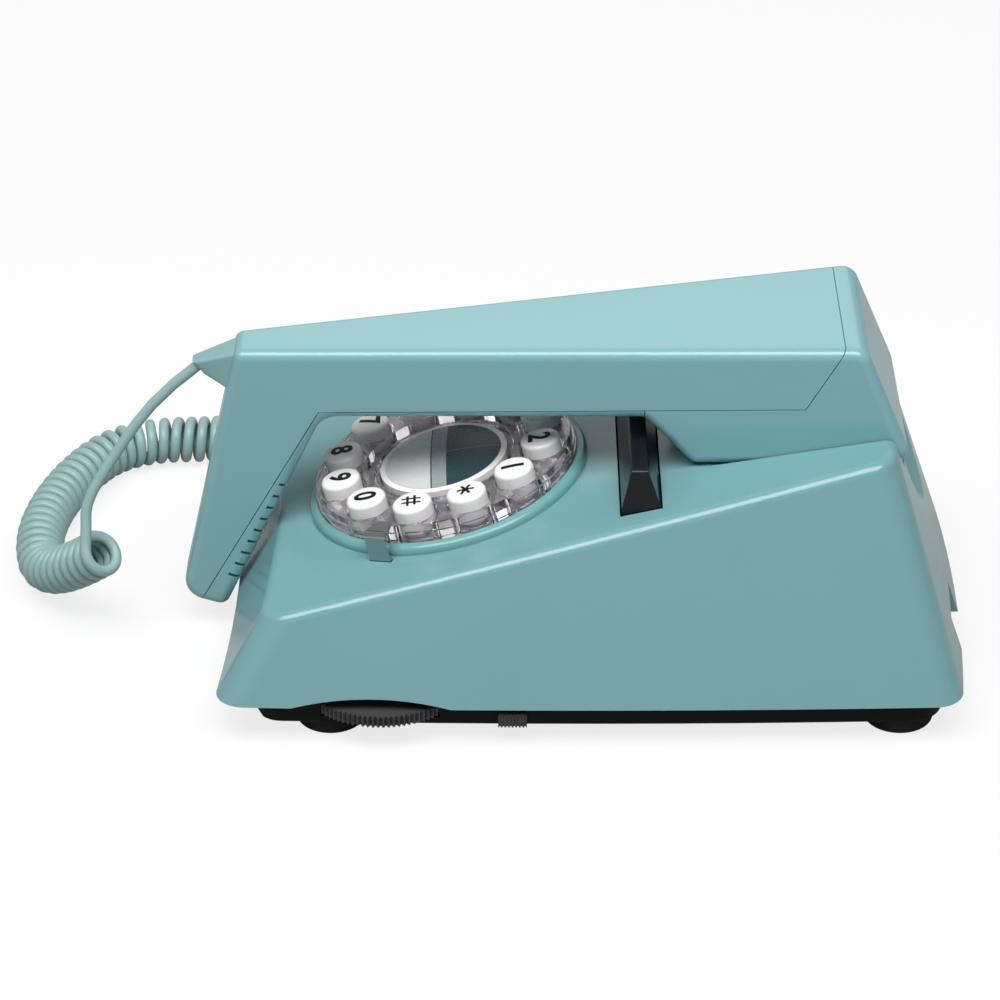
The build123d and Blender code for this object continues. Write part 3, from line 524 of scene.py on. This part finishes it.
def printed_sign(name, form, sign_height):
    """One sign as a thin layer of ink, centred on the cap and bent to its crown."""
    xs = [v.co.x for v in form.verts]
    ys = [v.co.y for v in form.verts]
    tall = max(max(ys) - min(ys), max(xs) - min(xs))
    middle = Vector(((max(xs) + min(xs)) / 2, (max(ys) + min(ys)) / 2, 0.0))
    scale = sign_height / tall
    bmesh.ops.transform(form, matrix=Matrix.Scale(scale, 4) @ Matrix.Translation(-middle), verts=form.verts)
    for _ in range(4):
        long_edges = [e for e in form.edges if e.calc_length() > print_longest_edge]
        bmesh.ops.subdivide_edges(form, edges=long_edges, cuts=1)
        bmesh.ops.triangulate(form, faces=form.faces)
    for v in form.verts:
        v.co.z += key_top - key_crown * (v.co.xy.length / key_cap_radius) ** 2 + print_lift
    mesh = bpy.data.meshes.new(name)
    form.to_mesh(mesh)
    form.free()
    mesh.transform(Matrix.Rotation(-math.pi / 2, 4, "Z"))
    return bpy.data.objects.new(name, mesh)


for number, key in enumerate(key_names):
    dress(key_white, "key_" + key)
    if key == "star":
        ink = printed_sign("print_star", bar_shape(star_bars), star_height)
    elif key == "hash":
        ink = printed_sign("print_hash", bar_shape(hash_bars), hash_height)
    else:
        ink = printed_sign("print_" + key, figure_shape(key), figure_height)
    ink.data.transform(dial_place @ Matrix.Translation(ring_place(number)))
    ink.data.materials.append(print_black)
    bpy.context.scene.collection.objects.link(ink)
    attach(ink, "key_" + key + "_cap")

# Middle button and its label. A white domed disc with a thin silver and slate label let into its face.
dress(key_white, "redial_button")


def label_print(name):
    """Brushed silver, a pale strip and slate, side by side, with thin rules between them."""
    made = bpy.data.materials.new(name)
    made.use_nodes = True
    tree = made.node_tree
    shader = tree.nodes["Principled BSDF"]
    place = tree.nodes.new("ShaderNodeTexCoord").outputs["Object"]
    level = tree.nodes.new("ShaderNodeMapping")
    level.vector_type = "TEXTURE"
    level.inputs["Location"].default_value = dial_centre
    level.inputs["Rotation"].default_value = (0.0, -dial_tilt, 0.0)
    tree.links.new(place, level.inputs["Vector"])
    apart = tree.nodes.new("ShaderNodeSeparateXYZ")
    tree.links.new(level.outputs["Vector"], apart.inputs["Vector"])
    across = tree.nodes.new("ShaderNodeMapRange")
    label_radius = 0.0166
    across.inputs["From Min"].default_value = -label_radius
    across.inputs["From Max"].default_value = label_radius
    tree.links.new(apart.outputs["X"], across.inputs["Value"])
    fields = tree.nodes.new("ShaderNodeValToRGB")
    fields.color_ramp.interpolation = "CONSTANT"
    silver = (0.60, 0.62, 0.62, 1.0)
    slate = (0.028, 0.06, 0.07, 1.0)
    strip = (0.30, 0.34, 0.35, 1.0)
    bands = [(0.0, silver), (0.395, slate), (0.408, strip), (0.535, slate)]
    fields.color_ramp.elements[0].position = bands[0][0]
    fields.color_ramp.elements[0].color = bands[0][1]
    fields.color_ramp.elements[1].position = bands[1][0]
    fields.color_ramp.elements[1].color = bands[1][1]
    for where, shade in bands[2:]:
        fields.color_ramp.elements.new(where).color = shade
    tree.links.new(across.outputs["Result"], fields.inputs["Fac"])
    rule_half = 0.00012
    rule = tree.nodes.new("ShaderNodeMath")
    rule.operation = "COMPARE"
    rule.inputs[1].default_value = 0.0
    rule.inputs[2].default_value = rule_half
    tree.links.new(apart.outputs["Y"], rule.inputs[0])
    right = tree.nodes.new("ShaderNodeMath")
    right.operation = "GREATER_THAN"
    rule_start = -0.0035
    right.inputs[1].default_value = rule_start
    tree.links.new(apart.outputs["X"], right.inputs[0])
    ruled = tree.nodes.new("ShaderNodeMath")
    ruled.operation = "MULTIPLY"
    tree.links.new(rule.outputs[0], ruled.inputs[0])
    tree.links.new(right.outputs[0], ruled.inputs[1])
    inked = tree.nodes.new("ShaderNodeMix")
    inked.data_type = "RGBA"
    rule_grey = (0.30, 0.33, 0.34, 1.0)
    inked.inputs["B"].default_value = rule_grey
    tree.links.new(ruled.outputs[0], inked.inputs["Factor"])
    tree.links.new(fields.outputs["Color"], inked.inputs["A"])
    tree.links.new(inked.outputs["Result"], shader.inputs["Base Color"])
    grain = tree.nodes.new("ShaderNodeTexNoise")
    grains_per_metre = 900.0
    grain.inputs["Scale"].default_value = grains_per_metre
    tree.links.new(level.outputs["Vector"], grain.inputs["Vector"])
    polish = tree.nodes.new("ShaderNodeMapRange")
    smoothest = 0.24
    roughest = 0.30
    polish.inputs["To Min"].default_value = smoothest
    polish.inputs["To Max"].default_value = roughest
    tree.links.new(grain.outputs["Fac"], polish.inputs["Value"])
    tree.links.new(polish.outputs["Result"], shader.inputs["Roughness"])
    shader.inputs["Specular IOR Level"].default_value = 0.15
    return made


dress(label_print("label_print"), "redial_label")

# Finger stop. A bent strip of polished plated steel pushed into a slot of the case.
stop_chrome = bright_metal("stop_chrome", colour=(0.45, 0.47, 0.48), gloss=0.05, brush=0.05)
dress(stop_chrome, "finger_stop")

# Hook lever. A glossy black bar with a hipped top, which springs up when the handset leaves it.
lever_black = moulded(
    "lever_black",
    colour=(0.010, 0.012, 0.015),
    gloss=0.16,
    gloss_spread=0.04,
    grain=0.003,
    grain_depth=0.000004,
    shine=0.25,
)
dress(lever_black, "hook_lever")

# Handset. Three shells in the case's plastic, the long back, the inner cover with the mouthpiece slits, and
# the earpiece block, coloured a shade lighter than the case as painted light for the brighter light on
# them; a soft boot in a duller tint holds the cord at the front end.
# Painted light: the same plastic as the case, made a shade lighter to stand in for the brighter light that
# falls on the handset.
handset_colour_painted_lighter = (0.212, 0.448, 0.466)
handset_plastic_painted_lighter = moulded(
    "handset_plastic_painted_lighter",
    colour=handset_colour_painted_lighter,
    gloss=0.19,
    gloss_spread=0.03,
    grain=0.004,
    grain_depth=0.000004,
    shine=0.65,
)
dress(handset_plastic_painted_lighter, "handset_back", "handset_cover", "earpiece_shell")
boot_plastic = moulded(
    "boot_plastic",
    colour=(0.23, 0.42, 0.42),
    gloss=0.36,
    gloss_spread=0.05,
    grain=0.0015,
    grain_depth=0.000008,
)
dress(boot_plastic, "strain_relief")

# Cord. Satin grey-green flex: a plain lead from the boot, a curly length, and a plain tail to its plug.
cord_plastic = moulded(
    "cord_plastic",
    colour=(0.29, 0.45, 0.445),
    gloss=0.34,
    gloss_spread=0.05,
    grain=0.0015,
    grain_depth=0.000008,
)
wire_radius = 0.00155
coil_radius = 0.0055
curl_pitch = 0.00375
points_per_curl = 20
middle_steps = 120
cord_steps = 3
bend_give = 0.45
coil_route = [
    (-0.0620, 0.0930, 0.0071),
    (-0.1000, 0.0885, 0.0071),
    (-0.1340, 0.0870, 0.0071),
    (-0.1490, 0.0620, 0.0071),
    (-0.1555, 0.0310, 0.0071),
    (-0.1495, 0.0050, 0.0071),
    (-0.1312, -0.0110, 0.0275),
]
lead_route = [
    (-0.1029, 0.0, 0.0812),
    (-0.1150, 0.0, 0.07152),
    (-0.1273, -0.0035, 0.0544),
    (-0.13544, -0.00763, 0.04196),
    (-0.13553, -0.01015, 0.03543),
]
tail_route = [
    (-0.05208, 0.08759, 0.0016),
    (-0.03708, 0.08759, 0.0016),
    (-0.0280, 0.08027, 0.0135),
    (-0.0280, 0.06727, 0.0135),
]


def smooth_line(name, points, steps):
    """A smooth open curve that the points draw towards them."""
    line = bpy.data.curves.new(name, "CURVE")
    line.dimensions = "3D"
    line.resolution_u = steps
    run = line.splines.new("NURBS")
    run.points.add(len(points) - 1)
    for spot, point in zip(run.points, points):
        spot.co = (*point, 1.0)
    run.order_u = 3
    run.use_endpoint_u = True
    piece = bpy.data.objects.new(name, line)
    bpy.context.scene.collection.objects.link(piece)
    return piece


def points_on(piece):
    bpy.context.view_layer.update()
    line = bpy.data.meshes.new_from_object(piece.evaluated_get(bpy.context.evaluated_depsgraph_get()))
    spots = [v.co.copy() for v in line.vertices]
    bpy.data.meshes.remove(line)
    return spots


middle_line = smooth_line("coil_middle", coil_route, middle_steps)
middle = points_on(middle_line)
bpy.data.objects.remove(middle_line)
last = len(middle) - 1
ways = [(middle[min(i + 1, last)] - middle[max(i - 1, 0)]).normalized() for i in range(last + 1)]
bend_reach = 12
curls = [0.0]
for i in range(last):
    low = max(0, i - bend_reach)
    high = min(last, i + bend_reach)
    run_length = sum((middle[j + 1] - middle[j]).length for j in range(low, high))
    bend = (ways[high] - ways[low]).length / run_length
    spread = (1 - bend_give * coil_radius * bend) / curl_pitch
    curls.append(curls[-1] + (middle[i + 1] - middle[i]).length * spread)
first_phase = 0.25
last_phase = -0.1
whole_curls = math.floor(curls[-1]) + first_phase - last_phase - 1
curl_scale = whole_curls / curls[-1]
helix = []
at = 0
for n in range(int(whole_curls * points_per_curl) + 1):
    goal = n / points_per_curl / curl_scale
    while at < len(curls) - 2 and curls[at + 1] < goal:
        at += 1
    share = min(1.0, (goal - curls[at]) / (curls[at + 1] - curls[at]))
    spot = middle[at].lerp(middle[at + 1], share)
    way = ways[at].lerp(ways[at + 1], share).normalized()
    across = way.cross(Vector((0, 0, 1))).normalized()
    down = way.cross(across)
    phase = 2 * math.pi * (first_phase - n / points_per_curl)
    helix.append(spot + across * (coil_radius * math.cos(phase)) + down * (coil_radius * math.sin(phase)))
cord_points = [Vector(p) for p in lead_route] + helix[::-1] + [Vector(p) for p in tail_route]
cord_line = smooth_line("handset_cord", cord_points, cord_steps)
cord_path = points_on(cord_line)
cord_line.data.bevel_depth = wire_radius
cord_line.data.bevel_resolution = 4
cord_line.data.use_fill_caps = True
bpy.context.view_layer.update()
cord_mesh = bpy.data.meshes.new_from_object(cord_line.evaluated_get(bpy.context.evaluated_depsgraph_get()))
bpy.data.objects.remove(cord_line)
cord = bpy.data.objects.new("handset_cord", cord_mesh)
bpy.context.scene.collection.objects.link(cord)
cord.data.shade_smooth()
cord.data.materials.clear()
cord.data.materials.append(cord_plastic)
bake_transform(cord)
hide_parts("cord_lead", "cord_coil", "cord_tail")
